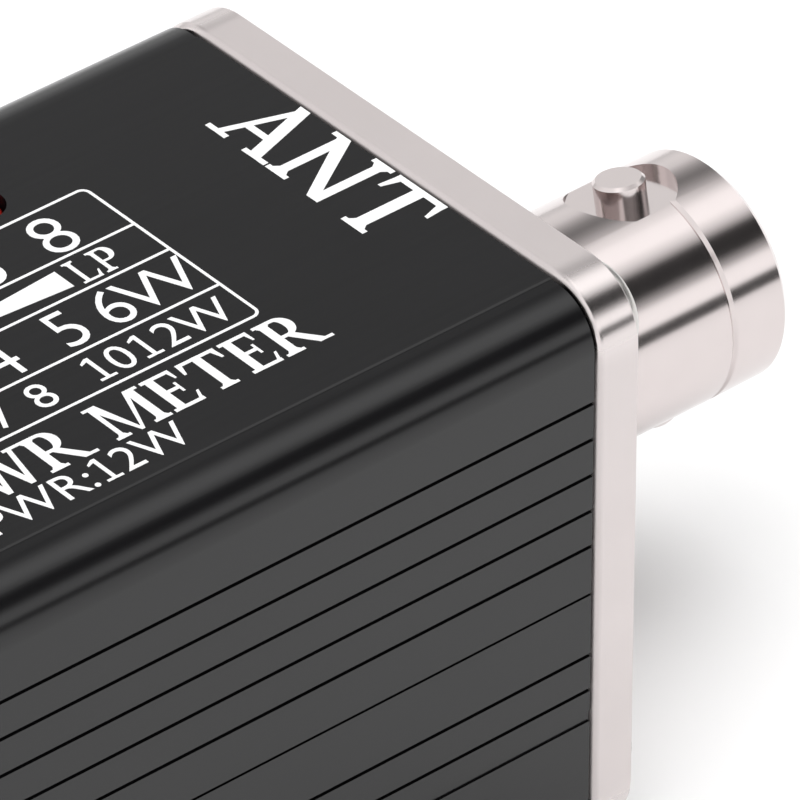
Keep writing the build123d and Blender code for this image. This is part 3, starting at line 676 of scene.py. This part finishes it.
def plain_text(name, rows, lift):
    """Sans-serif numbers: rows of (text, middle x, middle y, height, width factor) in millimetres."""
    bm = bmesh.new()
    for text, x, y, height, widen in rows:
        weight = -0.008 if height > BOLD_FROM else -0.003
        curve = bpy.data.curves.new(name, "FONT")
        curve.body = text
        curve.size = 1.0
        curve.resolution_u = 5
        curve.offset = weight
        curve.extrude = TEXT_DEPTH
        holder = bpy.data.objects.new(name + "_curve", curve)
        bpy.context.scene.collection.objects.link(holder)
        bpy.context.view_layer.update()
        mesh = bpy.data.meshes.new_from_object(holder)
        low = [min(v.co[i] for v in mesh.vertices) for i in range(3)]
        high = [max(v.co[i] for v in mesh.vertices) for i in range(3)]
        scale = height * MM / (high[1] - low[1])
        centre = Matrix.Translation([-(a + b) / 2 for a, b in zip(low, high)])
        size = Matrix.Diagonal((scale * widen, scale, lift / TEXT_DEPTH, 1))
        mesh.transform(Matrix.Translation((FACE_X + x * MM, y * MM, TOP_Z)) @ size @ centre)
        bm.from_mesh(mesh)
        bpy.data.objects.remove(holder)
        bpy.data.meshes.remove(mesh)
    bmesh.ops.remove_doubles(bm, verts=bm.verts, dist=0.0000001)
    return printed(bm, name)


# ---------------------------------------------------------------- operators
class SWR_OT_stage(bpy.types.Operator):
    """Floor, studio light and camera"""

    bl_idname = "swr.stage"
    bl_label = "Stage"

    def execute(self, context):
        look = context.scene.swr_stage
        bm = bmesh.new()
        bmesh.ops.create_grid(bm, x_segments=4, y_segments=4, size=2.0)
        mesh = bpy.data.meshes.new("floor")
        bm.to_mesh(mesh)
        bm.free()
        floor = bpy.data.objects.new("floor", mesh)
        context.scene.collection.objects.link(floor)
        f = Finish(bpy.data.materials.new("pale_floor"))
        cloud = f.noise(0.05, 2.0)
        shade = f.mix(cloud, tint(look.floor, 0.995), tint(look.floor, 1.005))
        mesh.materials.append(f.surface({"Base Color": shade, "Roughness": 0.9, "Specular IOR Level": 0.1}))
        self.light(context.scene, look.light)
        self.camera(context.scene, look)
        context.scene.view_settings.view_transform = "Standard"
        return {"FINISHED"}

    @staticmethod
    def light(scene, strength):
        """Long soft boxes over and in front of the case, parallel to it, in a grey room."""
        world = bpy.data.worlds.new("studio")
        scene.world = world
        f = Finish(world)
        direction = f.node("ShaderNodeTexCoord", output="Generated")
        front = 0.0 - direction.part("Y")
        angle = f.node("ShaderNodeMath", {0: front, 1: direction.part("Z")}, settings={"operation": "ARCTAN2"})
        turn = angle / (2 * math.pi) + 0.5
        ring = f.ramp(turn, [(degrees / 360 + 0.5, bright) for degrees, bright in SOFT_BOXES])
        ends = f.ramp(direction.part("X").size(), [(0.75, 0.0), (0.95, 1.0)])
        rear = f.ramp(0.0 - direction.part("X"), [(0.40, 0.0), (0.52, 1.0)])
        glow = f.mix(ends, f.mix(rear, ring, REAR_GLOW), END_GLOW)
        background = f.node("ShaderNodeBackground", {"Color": glow, "Strength": WORLD_STRENGTH * strength})
        f.node_out("ShaderNodeOutputWorld", {"Surface": background})
        data = bpy.data.lights.new("fill", "AREA")
        data.shape = "DISK"
        data.size = FILL_SIZE
        data.energy = FILL_ENERGY * strength
        fill = bpy.data.objects.new("fill", data)
        fill.location = FILL_PLACE
        fill.visible_glossy = False
        scene.collection.objects.link(fill)

    @staticmethod
    def camera(scene, look):
        """A long lens from above and in front of the transmitter end."""
        level = math.cos(CAMERA_ELEVATION)
        back = Vector((math.sin(CAMERA_AZIMUTH) * level, -math.cos(CAMERA_AZIMUTH) * level,
                       math.sin(CAMERA_ELEVATION)))
        data = bpy.data.cameras.new("camera")
        data.lens = look.lens
        data.sensor_width = 36
        data.clip_start, data.clip_end = 0.01, 10
        camera = bpy.data.objects.new("camera", data)
        scene.collection.objects.link(camera)
        camera.location = CAMERA_AIM + back * look.distance
        camera.rotation_mode = "QUATERNION"
        camera.rotation_quaternion = (-back).to_track_quat("-Z", "Y")
        scene.camera = camera


class SWR_OT_case(bpy.types.Operator):
    """The two halves of the case, drawn back a little from the eased end plates"""

    bl_idname = "swr.case"
    bl_label = "Case and end plates"

    def execute(self, context):
        look = context.scene.swr_case
        drawn_back("upper_shell", "case_upper", look.gap)
        drawn_back("lower_shell", "case_lower", look.gap)
        eased("ant_end_plate", "plate_antenna", look.plate_edge)
        eased("tx_end_plate", "plate_transmitter", look.plate_edge)
        return {"FINISHED"}


class SWR_OT_jacks(bpy.types.Operator):
    """The nuts and lock washers of both jacks, with eased edges"""

    bl_idname = "swr.jacks"
    bl_label = "Jack fixings"

    def execute(self, context):
        look = context.scene.swr_jack
        for end in ("ant", "tx"):
            eased(f"{end}_jack_nut", f"{end}_nut", look.edge * 2)
            eased(f"{end}_jack_washer", f"{end}_lock_washer", look.edge)
        return {"FINISHED"}


class SWR_OT_legend(bpy.types.Operator):
    """The printed table, its numbers and its words"""

    bl_idname = "swr.legend"
    bl_label = "Legend"

    def execute(self, context):
        look = context.scene.swr_legend
        lines = Printer(look.lift)
        half = look.line / MM / 2
        top, bottom = TABLE_LINES[0], TABLE_LINES[-1]
        lines.set(0, 0, 1)
        for row in TABLE_LINES:
            trim = TABLE_CORNER if row in (top, bottom) else 0
            lines.bar((TABLE_LEFT + trim, TABLE_RIGHT - trim), (row - half, row + half))
        for column in (TABLE_LEFT, TABLE_RIGHT):
            lines.bar((column - half, column + half), (bottom + TABLE_CORNER, top - TABLE_CORNER))
        for u, v, start in ((TABLE_RIGHT, top, 0), (TABLE_LEFT, top, 90), (TABLE_LEFT, bottom, 180),
                            (TABLE_RIGHT, bottom, 270)):
            centre = (u - math.copysign(TABLE_CORNER, u - (TABLE_LEFT + TABLE_RIGHT) / 2),
                      v - math.copysign(TABLE_CORNER, v))
            lines.bowl(centre, (TABLE_CORNER + half,) * 2, (TABLE_CORNER - half,) * 2, start, 90, 6)
        lines.quad((-23.7, 1.13), (-15.9, 0.56), (-15.9, 1.75), (-23.7, 1.17))
        lines.quad((-38.0, 0.56), (-30.2, 1.13), (-30.2, 1.17), (-38.0, 1.75))
        lines.ink("legend_table")

        words = Printer(look.lift)
        serif_word(words, "POWER SWR METER", -39.3, -7.98, 2.26, 0.985)
        serif_word(words, "ANT", -5.62, 0, 3.55, 0.97, (5.48, 2.1, -1.55), -90)
        serif_word(words, "TX", -48.28, 0, 3.55, 0.97, (-3.4, 0.1), 90)
        words.thick, words.thin = 0.12, 0.08
        serif_word(words, "LP", 0, 0.42, 1.5, 1.0, (-15.55, -14.45))
        serif_word(words, "HP", 0, 0.42, 1.5, 1.0, (-41.3, -39.7))
        for x, y, height in ((-18.95, -4.75, 1.5), (-16.75, -4.75, 1.5), (-22.6, -9.68, 1.45),
                             (-38.1, 2.45, 2.35), (-35.0, 2.5, 1.75), (-31.75, 2.5, 1.75), (-28.5, 2.5, 1.75),
                             (-25.25, 2.5, 1.75), (-31.1, -2.45, 2.2), (-37.5, -2.45, 1.9), (-39.4, -4.75, 1.5)):
            words.set(x, y, height)
            figure_one(words)
        words.ink("legend_words")
        rows = [(digit, x, RATIO_Y, RATIO_HEIGHT, 1) for digit, x in (("8", -14.5), ("3", -17.84), ("2", -21.1))]
        rows += [(f".{digit}", -23.3 - COLUMN * i, DECIMAL_Y, DECIMAL_HEIGHT, 1) for i, digit in enumerate("8642")]
        rows += [("W", -13.45, WATT_Y, 2.1, 1.05), ("6", -15.65, WATT_Y, WATT_HEIGHT, 0.95),
                 ("5", -17.8, WATT_Y, WATT_HEIGHT, 0.95)]
        rows += [(digit, -20.95 - COLUMN * i, WATT_Y, WATT_HEIGHT, 0.95) for i, digit in enumerate("432")]
        rows += [(".5", -33.8, -1.5, 1.9, 1), ("0.", -38.55, -1.5, 1.9, 1)]
        rows += [(digit, x, HIGH_Y, HIGH_HEIGHT, 1) for digit, x in
                 (("W", -13.45), ("2", -15.1), ("0", -17.4), ("8", -21.1), ("7", -23.0))]
        rows += [(digit, -26.2 - COLUMN * i, HIGH_Y, HIGH_HEIGHT, 1) for i, digit in enumerate("5432")]
        rows += [("PWR:", -25.15, RATING_Y, RATING_HEIGHT, 1), ("2W", -19.95, RATING_Y, RATING_HEIGHT, 1)]
        plain_text("legend_numbers", rows, look.lift)
        return {"FINISHED"}


class SWR_OT_finishes(bpy.types.Operator):
    """A procedural finish on every piece carried over from the assembly"""

    bl_idname = "swr.finishes"
    bl_label = "Finishes"

    def execute(self, context):
        for node, piece in NODES.items():
            if node not in SLOT_OF:
                raise RuntimeError(f"{node} has no finish")
            piece.data.materials.clear()
            piece.data.materials.append(finish(SLOT_OF[node]))
        return {"FINISHED"}


STEPS = (SWR_OT_stage, SWR_OT_finishes, SWR_OT_case, SWR_OT_jacks, SWR_OT_legend)


class SWR_PT_panel(bpy.types.Panel):
    """Lists the meter's groups"""

    bl_label = "SWR meter"
    bl_idname = "SWR_PT_panel"
    bl_space_type = "VIEW_3D"
    bl_region_type = "UI"
    bl_category = "SWR Meter"

    def draw(self, context):
        for step in STEPS:
            self.layout.operator(step.bl_idname)
        for name in SETTINGS:
            box = self.layout.box()
            settings = getattr(context.scene, name)
            for field in settings.bl_rna.properties:
                if not field.is_readonly and field.identifier != "name":
                    box.prop(settings, field.identifier)


SETTINGS = {"swr_case": CaseSettings, "swr_jack": JackSettings, "swr_legend": LegendSettings,
            "swr_stage": StageSettings}
CLASSES = (*SETTINGS.values(), *STEPS, SWR_PT_panel)


def register():
    for cls in CLASSES:
        bpy.utils.register_class(cls)
    for name, settings in SETTINGS.items():
        setattr(bpy.types.Scene, name, PointerProperty(type=settings))


def unregister():
    for name in SETTINGS:
        delattr(bpy.types.Scene, name)
    for cls in reversed(CLASSES):
        bpy.utils.unregister_class(cls)


def main():
    register()
    bpy.ops.swr.stage()
    bpy.ops.swr.finishes()
    bpy.ops.swr.case()
    bpy.ops.swr.jacks()
    bpy.ops.swr.legend()


if __name__ == "__main__":
    main()
